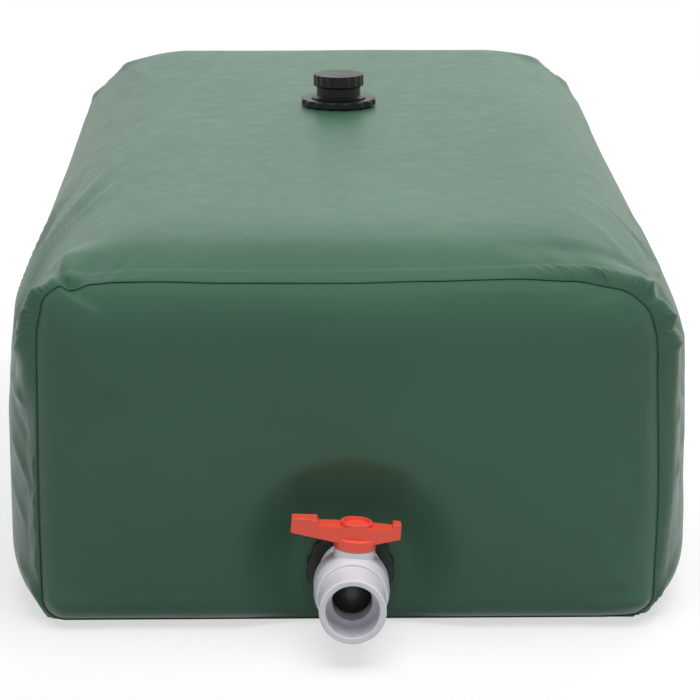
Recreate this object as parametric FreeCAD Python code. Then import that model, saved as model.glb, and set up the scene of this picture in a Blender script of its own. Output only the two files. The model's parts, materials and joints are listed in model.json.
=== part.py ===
import FreeCAD, Part
import math
import os

# Collapsible water tank of welded coated fabric: a wrap sheet makes the top,
# sides and bottom, a crowned sheet closes each end, a screwed filler stands on
# the top, and a ball valve is screwed to a bulkhead fitting low in the front.
# Millimetres. The origin is on the floor under the bag, +Z is up and the outlet
# points towards -Y.

V = FreeCAD.Vector

# Sheets
sheet = 1.2
weld_gap = 0.8
seat_gap = 0.05

# End panels, measured seam to seam
panel_width = 752.0
panel_height = 428.0
panel_lift = 4.0
panel_shoulder = 68.0
panel_foot = 30.0
panel_roll = 85.0
panel_roll_out = 25.0
panel_dome = 9.0
panel_face_out = 4.0
hem_width = 20.0
centre_disc = 12.0
patch_margin = 4.0
pad_margin = 8.0
pad_fade = 85.0

# Filled bag between its two seams
front_seam = 830.0
bag_length = 1600.0
bag_spread = 49.0
bag_rise = 32.5
front_swell_run = 270.0
rear_swell_run = 110.0
swell_sharpness = 3.5
settle_share = 0.33
bag_shoulder_width = 192.0
bag_shoulder_height = 168.0
bag_foot_width = 60.0
bag_foot_height = 72.0

# Gathers where the wrap is eased round the corners of the panels
shoulder_gathers = 6
foot_gathers = 3
gather_height = 4.2
front_gather_run = 95.0
rear_gather_run = 55.0
gather_unevenness = 0.35
gather_drift = 2.4

# Outlet fitting through the front panel
outlet_height = 72.0
outlet_thread = 59.6
outlet_bore = 48.0
outlet_flange = 98.0
outlet_flange_thick = 6.0
outlet_gasket_thick = 3.0
outlet_gasket_width = 98.0
hole_clearance = 0.7
patch_width = 124.0
outlet_nut_width = 107.0
outlet_nut_thick = 10.0
nut_lobes = 16
nut_groove = 2.6
nut_groove_share = 0.45
nut_base_chamfer = 1.0
nut_top_chamfer = 2.2
thread_clearance = 0.1
nut_to_valve = 1.0
tube_end_gap = 1.0

# Ball valve, measured along the flow from its stem axis
valve_roll = 4.3
valve_rear_reach = 62.8
valve_front_reach = 90.0
hub_width = 76.0
hub_length = 27.0
hub_stop_wall = 4.0
hub_flare_out = 3.0
hub_flare_run = 5.0
barrel_width = 90.0
barrel_half_length = 17.0
barrel_edge = 2.0
barrel_taper = 0.8
barrel_taper_run = 5.0
joint_reach = 38.0
joint_width = 85.0
collar_width = 79.0
socket_width = 63.2
socket_depth = 40.0
ball_width = 66.0
ball_clearance = 0.1
cavity_width = 69.0
seat_width = 60.0
seat_reach = 31.0
seat_nose = 16.0
seat_step = 1.0
carrier_clearance = 0.1
mouth_edge = 2.0

# Stem and its boss
stem_boss_width = 49.0
stem_boss_top = 51.0
stem_width = 16.0
stem_shoulder_width = 24.0
stem_shoulder_top = 41.0
stem_fit = 0.05
tang_thick = 8.0
tang_length = 20.0
tang_depth = 6.0
tang_fit = 0.1
tang_end_gap = 0.3
ball_gap = 0.4
stem_square = 11.0
ring_section = 2.2
ring_squeeze_room = 0.05
ring_side_room = 0.2
ring_heights = (43.6, 47.6)

# Handle
handle_left = 77.0
handle_right = 53.0
handle_top = 78.0
handle_hub_underside = 60.0
handle_tip_underside = 66.0
handle_hub_half_width = 19.0
handle_tip_half_width = 8.5
handle_wall = 3.0
grip_length = 30.0
grip_rise = 6.5
lip_length = 9.5
lip_rise = 6.0
grip_slope = 3.0
lip_slope = 1.5
skirt_width = 50.0
skirt_wall_height = 3.0
skirt_crown = 2.0
skirt_gap = 0.5
handle_boss_width = 38.0
handle_boss_rise = 5.5
handle_dish_width = 29.0
handle_dish_depth = 4.0
handle_edge = 1.6
dish_slope = 1.0
handle_hub_width = 24.0

# Filler on the top
filler_x = 0.0
filler_y = 168.0
neck_width = 57.6
neck_bore = 48.0
neck_height = 42.0
filler_flange = 98.0
filler_flange_thick = 5.0
filler_gasket_thick = 2.5
filler_nut_width = 112.0
filler_nut_thick = 8.7
cap_gap = 1.2
cap_lip_width = 80.6
cap_lip_thick = 1.6
cap_skirt_width = 65.0
cap_skirt_top = 28.0
cap_grip_width = 75.0
cap_grip_bottom = 31.0
cap_top = 47.0
cap_grooves = 18
cap_groove_depth = 1.6
cap_thread_clearance = 0.3
cap_web = 3.0
cap_lip_slope = 3.0
cap_groove_share = 0.5
seal_thick = 1.8
seal_gap = 0.1
seal_width_gap = 0.2
seal_lap = 0.5

# Small edges shared by the moulded pieces, and how far cutting shapes overrun
moulded_edge = 1.5
thread_edge = 1.2
small_edge = 1.0
overrun = 1.0
rim_overrun = 0.2

# Counts of outline points on each stretch of a bag section
floor_count = 14
side_count = 3
top_count = 6
gather_count = 4

# Shares of the way out at which a panel's flat disc, pad and crown are set
disc_shares = (0.0, 0.5, 1.0)
pad_shares = (0.5, 1.0)
disc_crowding = 0.955
pad_crowding = 0.975
crown_shares = (0.16, 0.34, 0.52, 0.68, 0.8, 0.9, 1.0)
swell_shares = (0.0, 0.25, 0.6, 1.0)

# Gap between face edges that is closed, and distance at which places are the same
repair_reach = 0.001
same_place = 0.000001

seam_top = panel_lift + panel_height
seam_middle = panel_lift + panel_height / 2.0
bag_top = seam_top + bag_rise
bag_half_width = panel_width / 2.0 + bag_spread
rear_seam = bag_length - front_seam


def smooth_step(value):
    value = min(max(value, 0.0), 1.0)
    return value * value * (3.0 - 2.0 * value)


def blend(start, end, share):
    return start + (end - start) * share


def swell(depth, run):
    """Share of the full section that the bag has reached at a depth behind its seam."""
    return 1.0 - (1.0 - min(depth / run, 1.0)) ** swell_sharpness


def section_sizes(depth, run):
    """Half width, bottom, top, shoulder and foot radii of the wrap's outside at a depth."""
    share = swell(depth, run)
    return dict(
        half_width=blend(panel_width / 2.0, bag_half_width, share),
        bottom=blend(panel_lift, 0.0, smooth_step(depth / (settle_share * run))),
        top=blend(seam_top, bag_top, share),
        shoulder_x=blend(panel_shoulder, bag_shoulder_width, share),
        shoulder_z=blend(panel_shoulder, bag_shoulder_height, share),
        foot_x=blend(panel_foot, bag_foot_width, share),
        foot_z=blend(panel_foot, bag_foot_height, share),
    )


def corner_points(centre, radii, start_angle, gathers, ripple):
    """Quarter turn of outline points, standing proud on each gather's crest."""
    count = gathers * gather_count
    points = []
    for step in range(count):
        angle = start_angle + 90.0 * step / count
        crest = 0.5 * (1.0 - math.cos(2.0 * math.pi * step / gather_count))
        uneven = 1.0 + gather_unevenness * math.sin(gather_drift * (step // gather_count) + start_angle)
        proud = ripple * crest * uneven
        across = math.cos(math.radians(angle))
        upward = math.sin(math.radians(angle))
        points.append((centre[0] + (radii[0] + proud) * across, centre[1] + (radii[1] + proud) * upward))
    return points


def line_points(start, end, count):
    return [
        (blend(start[0], end[0], step / count), blend(start[1], end[1], step / count))
        for step in range(count)
    ]


def outline(sizes, inset, ripple=0.0):
    """Closed list of (x, z) points round a bag section, counter-clockwise from the right foot."""
    half = sizes["half_width"] - inset
    bottom = sizes["bottom"] + inset
    top = sizes["top"] - inset
    foot = (sizes["foot_x"] - inset, sizes["foot_z"] - inset)
    shoulder = (sizes["shoulder_x"] - inset, sizes["shoulder_z"] - inset)
    foot_height = bottom + foot[1]
    shoulder_height = top - shoulder[1]
    points = corner_points((half - foot[0], foot_height), foot, -90.0, foot_gathers, ripple)
    points += line_points((half, foot_height), (half, shoulder_height), side_count)
    points += corner_points((half - shoulder[0], shoulder_height), shoulder, 0.0, shoulder_gathers, ripple)
    points += line_points((half - shoulder[0], top), (shoulder[0] - half, top), top_count)
    points += corner_points((shoulder[0] - half, shoulder_height), shoulder, 90.0, shoulder_gathers, ripple)
    points += line_points((-half, shoulder_height), (-half, foot_height), side_count)
    points += corner_points((foot[0] - half, foot_height), foot, 180.0, foot_gathers, ripple)
    points += line_points((foot[0] - half, bottom), (half - foot[0], bottom), floor_count)
    return points


def knots(count, degree):
    """Knot multiplicities and knots of a curve that ends at its first and last control points."""
    inner = count - degree - 1
    return [degree + 1] + [1] * inner + [degree + 1], list(range(inner + 2))


def round_curve(points):
    """Smooth closed curve drawn by control points."""
    curve = Part.BSplineCurve()
    count = len(points)
    curve.buildFromPolesMultsKnots(points, [1] * (count + 1), list(range(count + 1)), True, 3)
    return curve.toShape()


def open_curve(points):
    """Smooth curve between its end points, straight between two points alone."""
    curve = Part.BSplineCurve()
    degree = min(3, len(points) - 1)
    curve.buildFromPolesMultsKnots(points, *knots(len(points), degree), False, degree)
    return curve.toShape()


def skin(rows, closed=True):
    """Smooth face over rows of control points, straight between two rows alone."""
    around = len(rows[0])
    degree = min(3, len(rows) - 1)
    across = ([1] * (around + 1), list(range(around + 1))) if closed else knots(around, 3)
    along = knots(len(rows), degree)
    surface = Part.BSplineSurface()
    poles = [[row[index] for row in rows] for index in range(around)]
    multiplicities = (across[0], along[0])
    places = (across[1], along[1])
    surface.buildFromPolesMultsKnots(poles, *multiplicities, *places, closed, False, 3, degree)
    return surface.toShape()


def closed_solid(faces):
    """Solid inside faces that meet edge to edge, all turned to point outwards."""
    shell = Part.makeShell(faces)
    shell.sewShape()
    solid = Part.makeSolid(shell)
    solid.fix(repair_reach, repair_reach, repair_reach)
    return solid


def wrap_row(depth, inset):
    """Control points round the wrap's upper side, foot to foot, at a depth behind the front seam."""
    front = depth < bag_length / 2.0
    from_seam = depth if front else bag_length - depth
    run = front_swell_run if front else rear_swell_run
    gather_run = front_gather_run if front else rear_gather_run
    ripple = gather_height * (1.0 - smooth_step(from_seam / gather_run))
    points = outline(section_sizes(from_seam, run), inset, ripple)
    return [V(x, depth - front_seam, z) for x, z in points[:1 - floor_count]]


def wrap_skins(inset):
    """Upper skins and floors of the gathered zones, the swelling zones and the even middle."""
    gathered_end = bag_length - rear_gather_run
    middle_end = bag_length - rear_swell_run
    stations = (
        (0.0, front_gather_run),
        [blend(front_gather_run, front_swell_run, share) for share in swell_shares],
        (front_swell_run, middle_end),
        [blend(middle_end, gathered_end, 1.0 - share) for share in reversed(swell_shares)],
        (gathered_end, bag_length),
    )
    zones = [[wrap_row(depth, inset) for depth in depths] for depths in stations]
    skins = [skin(rows, False) for rows in zones]
    for rows in (zones[0], zones[-1]):
        corners = [rows[0][0], rows[1][0], rows[1][-1], rows[0][-1], rows[0][0]]
        skins.append(Part.Face(Part.makePolygon(corners)))
    sides = [open_curve([row[side] for row in rows]) for rows in zones[1:-1] for side in (0, -1)]
    ends = [Part.makeLine(row[0], row[-1]) for row in (zones[1][0], zones[-2][-1])]
    return skins + [Part.Face(Part.Wire(Part.sortEdges(sides + ends)[0]))]


def wrap_rim(depth):
    """Cut edge of the wrap at one seam."""
    wires = []
    for inset in (0.0, sheet):
        row = wrap_row(depth, inset)
        wires.append(Part.Wire([open_curve(row), Part.makeLine(row[-1], row[0])]))
    return Part.Face(wires)


def bag_wrap():
    """Round sheet with its ends open, flat where it rests, cut out for the filler's neck."""
    rims = [wrap_rim(depth) for depth in (0.0, bag_length)]
    wrap = closed_solid(wrap_skins(0.0) + wrap_skins(sheet) + rims)
    radius = neck_width / 2.0 + hole_clearance
    return wrap.cut(Part.makeCylinder(radius, 4.0 * sheet, V(filler_x, filler_y, bag_top - 2.0 * sheet)))


def seam_distance(x, z):
    """Distance from a place on a panel to its seam."""
    foot = z < seam_middle
    radius = panel_foot if foot else panel_shoulder
    across = abs(x) - (panel_width / 2.0 - radius)
    upward = abs(z - seam_middle) - (panel_height / 2.0 - radius)
    if across > 0.0 and upward > 0.0:
        return radius - math.hypot(across, upward)
    return radius - max(across, upward)


def crown_height(x, z, pad):
    """How far the panel bulges out of its seam plane, nothing at the seam and on the pad."""
    near = min(max(seam_distance(x, z) / panel_roll, 0.0), 1.0)
    roll = 1.0 - (1.0 - near) ** 2
    across = math.cos(math.pi * min(abs(x) / panel_width, 0.5))
    upward = math.cos(math.pi * min(abs(z - seam_middle) / panel_height, 0.5))
    height = panel_roll_out * roll + panel_dome * across * upward
    if pad:
        reach = math.hypot(x, z - outlet_height) - patch_width / 2.0 - pad_margin
        height *= smooth_step(reach / pad_fade)
    return height


def panel_rim(thickness):
    return outline(section_sizes(0.0, front_swell_run), sheet + weld_gap + thickness)


def crown_rows(thickness, pad):
    """Rows of control points from a flat disc round the centre out to the seam."""
    centre = outlet_height if pad else seam_middle
    disc_y = thickness - panel_face_out - crown_height(0.0, centre, pad)
    disc_reach = patch_width / 2.0 + patch_margin if pad else 2.0 * centre_disc
    pad_reach = patch_width / 2.0 + pad_margin if pad else disc_reach + centre_disc
    rows = [[] for _ in disc_shares + pad_shares + crown_shares]
    for x, z in panel_rim(thickness):
        angle = math.atan2(z - centre, x)
        reach = math.hypot(x, z - centre)
        disc_end = min(disc_reach, disc_crowding * reach)
        pad_end = min(pad_reach, pad_crowding * reach)
        radii = [blend(centre_disc, disc_end, share) for share in disc_shares]
        radii += [blend(disc_end, pad_end, share) for share in pad_shares]
        flat_rows = len(radii)
        radii += [blend(pad_end, reach, share) for share in crown_shares]
        for index, (row, radius) in enumerate(zip(rows, radii)):
            px = radius * math.cos(angle)
            pz = centre + radius * math.sin(angle)
            bulge = thickness - panel_face_out - crown_height(px, pz, pad)
            row.append(V(px, disc_y if index < flat_rows else bulge, pz))
    return rows


def panel_skins(thickness, pad):
    """Centre disc, crown and hem of one side of the sheet."""
    rows = crown_rows(thickness, pad)
    rim = rows[-1]
    hem = [V(point.x, hem_width, point.z) for point in rim]
    disc = Part.Face(Part.Wire([round_curve(rows[0])]))
    return [disc, skin(rows), skin([rim, hem])]


def end_panel(pad):
    """Crowned sheet with its hem turned back inside the wrap, its seam plane at y = 0."""
    hem_ends = []
    for thickness in (0.0, sheet):
        points = [V(x, hem_width, z) for x, z in panel_rim(thickness)]
        hem_ends.append(Part.Wire([round_curve(points)]))
    return closed_solid(panel_skins(0.0, pad) + panel_skins(sheet, pad) + [Part.Face(hem_ends)])


def front_panel():
    radius = outlet_thread / 2.0 + hole_clearance
    depth = 4.0 * panel_face_out
    hole = Part.makeCylinder(radius, depth, V(0, -depth / 2.0, outlet_height), V(0, 1, 0))
    panel = end_panel(True).cut(hole)
    panel.translate(V(0, -front_seam, 0))
    return panel


def rear_panel():
    panel = end_panel(False)
    panel.rotate(V(0, 0, 0), V(0, 0, 1), 180.0)
    panel.translate(V(0, rear_seam, 0))
    return panel


def turned(points):
    """Solid of revolution about Z from (radius, height) points."""
    corners = [V(radius, 0, height) for radius, height in points]
    face = Part.Face(Part.makePolygon(corners + corners[:1]))
    return face.revolve(V(0, 0, 0), V(0, 0, 1), 360)


def tube(outer_width, inner_width, low, high):
    inner = inner_width / 2.0
    outer = outer_width / 2.0
    return turned([(inner, low), (outer, low), (outer, high), (inner, high)])


def lobed_face(outer_width, groove, count, groove_share):
    """Flat face whose rim runs in rounded lobes with rounded grooves between them."""
    outer = outer_width / 2.0
    waist = outer - groove / 2.0
    turn = 2.0 * math.pi / count
    half_groove = turn * groove_share / 2.0

    def at(radius, angle):
        return V(radius * math.cos(angle), radius * math.sin(angle), 0)

    edges = []
    for index in range(count):
        middle = index * turn
        left = at(waist, middle - half_groove)
        right = at(waist, middle + half_groove)
        following = at(waist, middle + turn - half_groove)
        edges.append(Part.Arc(left, at(outer - groove, middle), right).toShape())
        edges.append(Part.Arc(right, at(outer, middle + turn / 2.0), following).toShape())
    return Part.Face(Part.Wire(edges))


def lobed_nut(width, thick, bore_width):
    """Lobed locknut standing on z = 0, its rim chamfered at both faces."""
    body = lobed_face(width, nut_groove, nut_lobes, nut_groove_share).extrude(V(0, 0, thick))
    rim = width / 2.0 + rim_overrun
    crown = turned([
        (0.0, 0.0),
        (rim - nut_base_chamfer, 0.0),
        (rim, nut_base_chamfer),
        (rim, thick - nut_top_chamfer),
        (rim - nut_top_chamfer, thick),
        (0.0, thick),
    ])
    body = body.common(crown)
    return body.cut(Part.makeCylinder(bore_width / 2.0, 3.0 * thick, V(0, 0, -thick)))


pad_y = -front_seam - panel_face_out
outlet_place = FreeCAD.Placement(V(0, pad_y, outlet_height), FreeCAD.Rotation(V(1, 0, 0), 90))
patch_front = seat_gap + sheet
nut_seat = patch_front + outlet_gasket_thick
nut_front = nut_seat + outlet_nut_thick
valve_rear = nut_front + nut_to_valve
stem_reach = valve_rear + valve_rear_reach
valve_turn = FreeCAD.Placement(V(0, 0, 0), FreeCAD.Rotation(V(0, 0, 1), -valve_roll))
valve_place = outlet_place * valve_turn * FreeCAD.Placement(V(0, 0, stem_reach), FreeCAD.Rotation())
stem_place = valve_place * FreeCAD.Placement(V(0, 0, 0), FreeCAD.Rotation(V(1, 0, 0), -90))
filler_place = FreeCAD.Placement(V(filler_x, filler_y, bag_top), FreeCAD.Rotation())
nut_top = filler_gasket_thick + filler_nut_thick


def placed(shape, place):
    shape = shape.copy()
    shape.Placement = place.multiply(shape.Placement)
    return shape


# Outlet fitting pieces, built along +Z as the outward flow, z = 0 on the panel's outer face


def outlet_patch():
    return tube(patch_width, outlet_thread + 2.0 * hole_clearance, seat_gap, patch_front)


def outlet_outer_gasket():
    return tube(outlet_gasket_width, outlet_thread + hole_clearance, patch_front, nut_seat)


def outlet_inner_gasket():
    return tube(outlet_gasket_width, outlet_thread + hole_clearance, -sheet - outlet_gasket_thick, -sheet)


def outlet_locknut():
    nut = lobed_nut(outlet_nut_width, outlet_nut_thick, outlet_thread + 2.0 * thread_clearance)
    nut.translate(V(0, 0, nut_seat))
    return nut


def outlet_connector():
    face = -sheet - outlet_gasket_thick
    back = face - outlet_flange_thick
    end = stem_reach - valve_rear_reach + hub_length - hub_stop_wall - tube_end_gap
    bore = outlet_bore / 2.0
    rim = outlet_flange / 2.0
    thread = outlet_thread / 2.0
    return turned([
        (bore + moulded_edge, back),
        (rim - moulded_edge, back),
        (rim, back + moulded_edge),
        (rim, face),
        (thread, face),
        (thread, end - thread_edge),
        (thread - thread_edge, end),
        (bore, end),
        (bore, back + moulded_edge),
    ])


# Valve pieces along the flow, z = 0 at the stem axis


def valve_body():
    rear = -valve_rear_reach
    hub = hub_width / 2.0
    hub_end = rear + hub_length
    barrel = barrel_width / 2.0
    bore = outlet_bore / 2.0
    thread = outlet_thread / 2.0 + thread_clearance
    stop = hub_end - hub_stop_wall
    cavity = cavity_width / 2.0
    joint = joint_width / 2.0
    seat = seat_width / 2.0 + seat_gap
    body = turned([
        (thread + thread_edge, rear),
        (hub - moulded_edge, rear),
        (hub, rear + moulded_edge),
        (hub, hub_end),
        (hub + hub_flare_out, hub_end + hub_flare_run),
        (barrel - barrel_edge, -barrel_half_length - barrel_edge),
        (barrel, -barrel_half_length),
        (barrel, barrel_half_length),
        (barrel - barrel_taper, barrel_half_length + barrel_taper_run),
        (joint, joint_reach - moulded_edge),
        (joint - moulded_edge, joint_reach),
        (cavity, joint_reach),
        (cavity, -seat_nose),
        (seat, -seat_nose),
        (seat, -seat_reach - seat_gap),
        (bore, -seat_reach - seat_gap),
        (bore, stop),
        (thread, stop),
        (thread, rear + thread_edge),
    ])
    boss = turned([
        (0.0, 0.0),
        (stem_boss_width / 2.0, 0.0),
        (stem_boss_width / 2.0, stem_boss_top - small_edge),
        (stem_boss_width / 2.0 - small_edge, stem_boss_top),
        (0.0, stem_boss_top),
    ])
    boss.rotate(V(0, 0, 0), V(1, 0, 0), -90.0)
    room = 2.0 * barrel_half_length
    core = Part.makeCylinder(cavity, room + joint_reach, V(0, 0, -room))
    body = body.fuse(boss.cut(core)).removeSplitter()
    shoulder = stem_shoulder_width / 2.0 + stem_fit
    shaft = stem_width / 2.0 + stem_fit
    passage = turned([
        (0.0, 0.0),
        (shoulder, 0.0),
        (shoulder, stem_shoulder_top + stem_fit),
        (shaft, stem_shoulder_top + stem_fit),
        (shaft, stem_boss_top + overrun),
        (0.0, stem_boss_top + overrun),
    ])
    passage.rotate(V(0, 0, 0), V(1, 0, 0), -90.0)
    return body.cut(passage)


def valve_end_socket():
    carrier = cavity_width / 2.0 - carrier_clearance
    seat = seat_width / 2.0 + seat_gap
    bore = outlet_bore / 2.0
    collar = collar_width / 2.0
    shoulder = joint_reach + seat_gap
    mouth = valve_front_reach
    socket = socket_width / 2.0
    return turned([
        (seat, seat_nose),
        (carrier - small_edge, seat_nose),
        (carrier, seat_nose + small_edge),
        (carrier, shoulder),
        (collar - small_edge, shoulder),
        (collar, shoulder + small_edge),
        (collar, mouth - mouth_edge),
        (collar - mouth_edge, mouth),
        (socket + moulded_edge, mouth),
        (socket, mouth - moulded_edge),
        (socket, mouth - socket_depth),
        (bore, mouth - socket_depth),
        (bore, seat_reach + seat_gap),
        (seat, seat_reach + seat_gap),
    ])


def seat_ring():
    ring = tube(seat_width, outlet_bore, seat_nose + seat_step, seat_reach)
    return ring.cut(Part.makeSphere(ball_width / 2.0 + ball_clearance))


def valve_seat_front():
    return seat_ring()


def valve_seat_rear():
    ring = seat_ring()
    ring.rotate(V(0, 0, 0), V(1, 0, 0), 180.0)
    return ring


# Stem pieces along the stem, z = 0 on the flow axis, x across the flow and y back along it


def valve_ball():
    radius = ball_width / 2.0
    ball = Part.makeSphere(radius)
    bore = Part.makeCylinder(outlet_bore / 2.0, 2.0 * ball_width, V(-ball_width, 0, 0), V(1, 0, 0))
    slot_width = tang_thick + 2.0 * tang_fit
    corner = V(-slot_width / 2.0, -radius, radius - tang_depth)
    slot = Part.makeBox(slot_width, ball_width, tang_depth + overrun, corner)
    return ball.cut([bore, slot])


def valve_stem():
    low = ball_width / 2.0 + ball_gap
    shaft = stem_width / 2.0
    shoulder = stem_shoulder_width / 2.0
    groove = shaft - ring_squeeze_room - ring_section
    half_ring = ring_section / 2.0 + ring_side_room
    profile = [(0.0, low), (shoulder, low), (shoulder, stem_shoulder_top), (shaft, stem_shoulder_top)]
    for height in ring_heights:
        profile += [
            (shaft, height - half_ring),
            (groove, height - half_ring),
            (groove, height + half_ring),
            (shaft, height + half_ring),
        ]
    shaft_top = stem_boss_top + skirt_gap
    profile += [(shaft, shaft_top), (0.0, shaft_top)]
    half_square = stem_square / 2.0
    square_height = handle_top - handle_wall - shaft_top
    square = Part.makeBox(stem_square, stem_square, square_height, V(-half_square, -half_square, shaft_top))
    tang_bottom = ball_width / 2.0 - tang_depth + tang_end_gap
    corner = V(-tang_thick / 2.0, -tang_length / 2.0, tang_bottom)
    tang = Part.makeBox(tang_thick, tang_length, low - tang_bottom, corner)
    return turned(profile).fuse([square, tang]).removeSplitter()


def stem_o_rings():
    half = ring_section / 2.0
    radius = stem_width / 2.0 + stem_fit - ring_squeeze_room - half
    return Part.makeCompound([Part.makeTorus(radius, half, V(0, 0, height)) for height in ring_heights])


def arm_solid(wall):
    """Arm of the handle from its side and plan outlines, each drawn in by a wall."""
    left = -handle_left + wall
    right = handle_right - wall
    top = handle_top - wall
    tip = handle_tip_underside - wall
    hub = handle_hub_underside - wall
    grip = -handle_left + grip_length - wall
    lip = handle_right - lip_length + wall
    half_hub = handle_hub_half_width - wall
    half_tip = handle_tip_half_width - wall
    flank = skirt_width / 2.0
    side = Part.makePolygon([V(x, 0, z) for x, z in (
        (left, tip),
        (-flank, hub),
        (flank, hub),
        (right, tip),
        (right, top + lip_rise),
        (lip, top + lip_rise),
        (lip - lip_slope, top),
        (grip + grip_slope, top),
        (grip, top + grip_rise),
        (left, top + grip_rise),
        (left, tip),
    )])
    plan = Part.makePolygon([V(x, y, 0) for x, y in (
        (left, -half_tip),
        (0.0, -half_hub),
        (right, -half_tip),
        (right, half_tip),
        (0.0, half_hub),
        (left, half_tip),
        (left, -half_tip),
    )])
    depth = 4.0 * handle_hub_half_width
    slab = Part.Face(side).extrude(V(0, depth, 0))
    slab.translate(V(0, -depth / 2.0, 0))
    column = Part.Face(plan).extrude(V(0, 0, 2.0 * handle_top))
    return slab.common(column)


def tip_edges(arm):
    """Edges of the arm's two ends that stand above the hub's underside."""
    found = []
    for edge in arm.Edges:
        places = [vertex.Point for vertex in edge.Vertexes]
        at_left = min(abs(place.x + handle_left) for place in places) < same_place
        at_right = min(abs(place.x - handle_right) for place in places) < same_place
        above = min(place.z for place in places) > handle_hub_underside
        if (at_left or at_right) and above:
            found.append(edge)
    return found


def valve_handle():
    arm = arm_solid(0.0)
    arm = arm.makeFillet(handle_edge, tip_edges(arm))
    arm = arm.cut(arm_solid(handle_wall))
    skirt_bottom = stem_boss_top + skirt_gap
    skirt = skirt_width / 2.0
    skirt_top = handle_hub_underside + skirt_wall_height + skirt_crown
    boss = handle_boss_width / 2.0
    boss_top = handle_top + handle_boss_rise
    dish = handle_dish_width / 2.0
    hub = turned([
        (0.0, skirt_bottom),
        (skirt, skirt_bottom),
        (skirt, skirt_top - skirt_crown),
        (skirt - skirt_crown, skirt_top),
        (boss, skirt_top),
        (boss, boss_top - small_edge),
        (boss - small_edge, boss_top),
        (dish + dish_slope, boss_top),
        (dish, boss_top - handle_dish_depth),
        (0.0, boss_top - handle_dish_depth),
    ])
    web = handle_hub_width / 2.0
    room = skirt - handle_wall
    ceiling = boss_top - handle_dish_depth - handle_wall
    moat = turned([
        (web, skirt_bottom - overrun),
        (room, skirt_bottom - overrun),
        (room, skirt_top - skirt_crown - handle_wall),
        (boss - handle_wall, skirt_top - small_edge),
        (boss - handle_wall, ceiling),
        (web, ceiling),
    ])
    square = stem_square + 2.0 * stem_fit
    socket_top = handle_top - handle_wall + stem_fit
    corner = V(-square / 2.0, -square / 2.0, skirt_bottom - overrun)
    socket = Part.makeBox(square, square, socket_top - skirt_bottom + overrun, corner)
    return arm.fuse(hub).removeSplitter().cut([moat, socket])


# Filler pieces, z = 0 on the wrap's top


def filler_neck():
    face = -sheet - filler_gasket_thick
    back = face - filler_flange_thick
    bore = neck_bore / 2.0
    rim = filler_flange / 2.0
    thread = neck_width / 2.0
    return turned([
        (bore, back),
        (rim - moulded_edge, back),
        (rim, back + moulded_edge),
        (rim, face),
        (thread, face),
        (thread, neck_height - small_edge),
        (thread - small_edge, neck_height),
        (bore, neck_height),
    ])


def filler_inner_gasket():
    return tube(filler_flange, neck_width + hole_clearance, -sheet - filler_gasket_thick, -sheet)


def filler_outer_gasket():
    return tube(filler_flange, neck_width + hole_clearance, 0.0, filler_gasket_thick)


def filler_locknut():
    nut = lobed_nut(filler_nut_width, filler_nut_thick, neck_width + 2.0 * thread_clearance)
    nut.translate(V(0, 0, filler_gasket_thick))
    return nut


def filler_cap():
    low = nut_top + cap_gap
    lip_top = low + cap_lip_thick
    skirt = cap_skirt_width / 2.0
    grip = cap_grip_width / 2.0
    lip = cap_lip_width / 2.0
    bore = neck_width / 2.0 + cap_thread_clearance
    ceiling = cap_top - cap_web
    body = turned([
        (bore + small_edge, low),
        (lip, low),
        (lip, lip_top - small_edge),
        (skirt + cap_lip_slope, lip_top),
        (skirt, lip_top + moulded_edge),
        (skirt, cap_skirt_top),
        (grip, cap_grip_bottom),
        (grip, cap_top - thread_edge),
        (grip - thread_edge, cap_top),
        (0.0, cap_top),
        (0.0, ceiling),
        (bore, ceiling),
        (bore, low + small_edge),
    ])
    rim_width = cap_grip_width + rim_overrun
    grooved = lobed_face(rim_width, cap_groove_depth, cap_grooves, cap_groove_share)
    lower = Part.makeCylinder(cap_lip_width, cap_grip_bottom)
    return body.common(grooved.extrude(V(0, 0, 2.0 * cap_top)).fuse(lower))


def cap_seal():
    low = neck_height + seal_gap
    return tube(neck_width - 2.0 * seal_width_gap, neck_bore + 2.0 * seal_lap, low, low + seal_thick)


def pieces():
    """Every piece in its place, by node name."""
    made = {"bag_wrap": bag_wrap(), "front_panel": front_panel(), "rear_panel": rear_panel()}
    outlet_group = (outlet_patch, outlet_outer_gasket, outlet_inner_gasket)
    outlet_group += (outlet_locknut, outlet_connector)
    valve_group = (valve_body, valve_end_socket, valve_seat_front, valve_seat_rear)
    stem_group = (valve_ball, valve_stem, stem_o_rings, valve_handle)
    filler_group = (filler_neck, filler_inner_gasket, filler_outer_gasket)
    filler_group += (filler_locknut, filler_cap, cap_seal)
    for group, place in (
        (outlet_group, outlet_place),
        (valve_group, valve_place),
        (stem_group, stem_place),
        (filler_group, filler_place),
    ):
        for make in group:
            made[make.__name__] = placed(make(), place)
    return made


os.makedirs("parts", exist_ok=True)
for name, shape in pieces().items():
    print(name, shape.isValid(), len(shape.Solids), round(shape.Volume, 1))
    shape.exportStep("parts/" + name + ".step")
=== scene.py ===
import bisect
import json
import math

import bmesh
import bpy
from bpy.props import FloatProperty, FloatVectorProperty, PointerProperty
from mathutils import Matrix, Vector, noise


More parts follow.
